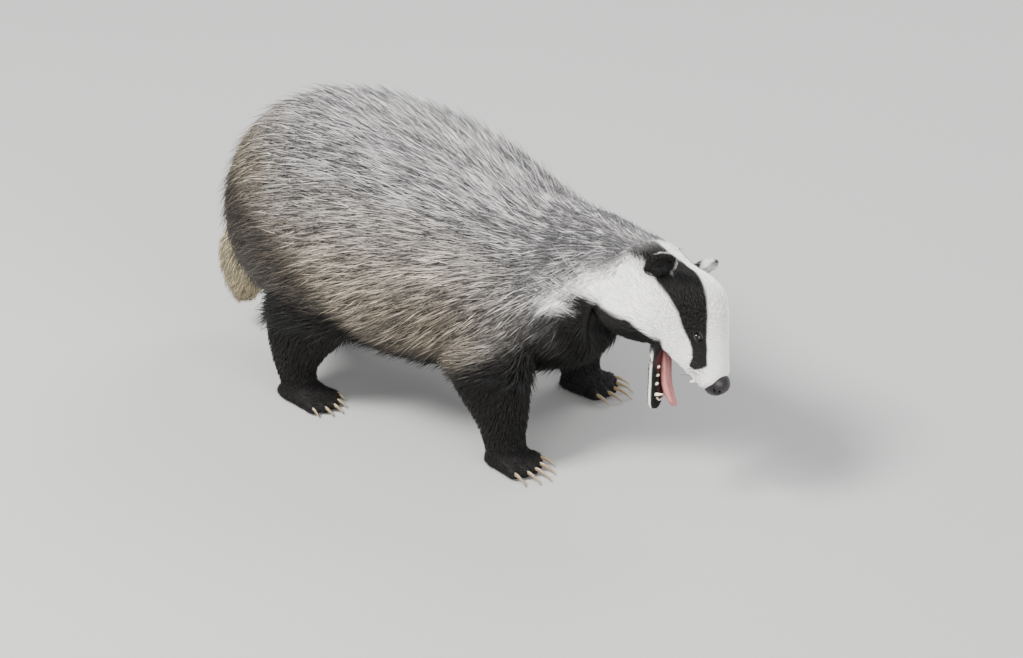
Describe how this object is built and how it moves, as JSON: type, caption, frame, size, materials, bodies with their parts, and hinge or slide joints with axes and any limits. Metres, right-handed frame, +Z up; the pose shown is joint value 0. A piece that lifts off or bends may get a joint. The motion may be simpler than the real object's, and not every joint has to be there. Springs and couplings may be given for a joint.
{
  "type": "european badger figure",
  "caption": "Life-size european badger standing with a lowered, turned head and open mouth, grizzled coat, black and white striped face and short bushy tail.",
  "frame": {"origin": "on the floor, under the middle of the whole animal's box", "axes": "+X forward along the body towards the head, +Y to the animal's left, +Z up"},
  "size_m": [0.6862, 0.2852, 0.3279],
  "materials": {
    "body_coat": "long coarse grizzled guard hair, pale at the root and tip with a dark band between",
    "head_coat": "short dense white fur with a black stripe through each eye and ear",
    "leg_coat": "short dense black fur, horn-coloured claws",
    "tail_coat": "long pale bushy hair",
    "ear_coat": "short black fur with a white rim",
    "nose_skin": "moist, finely pebbled bare skin",
    "tongue_skin": "moist pink skin",
    "eye": "clear glossy dark brown"
  },
  "bodies": {
    "root": {"torso": "body_coat", "neck": "body_coat", "head": "head_coat", "lower_jaw": "head_coat", "tongue": "tongue_skin", "nose": "nose_skin", "ear_right": "ear_coat", "ear_left": "ear_coat", "eye_right": "eye", "eye_left": "eye", "foreleg_right": "leg_coat", "foreleg_left": "leg_coat", "hindleg_right": "leg_coat", "hindleg_left": "leg_coat", "tail": "tail_coat"}
  },
  "joints": []
}
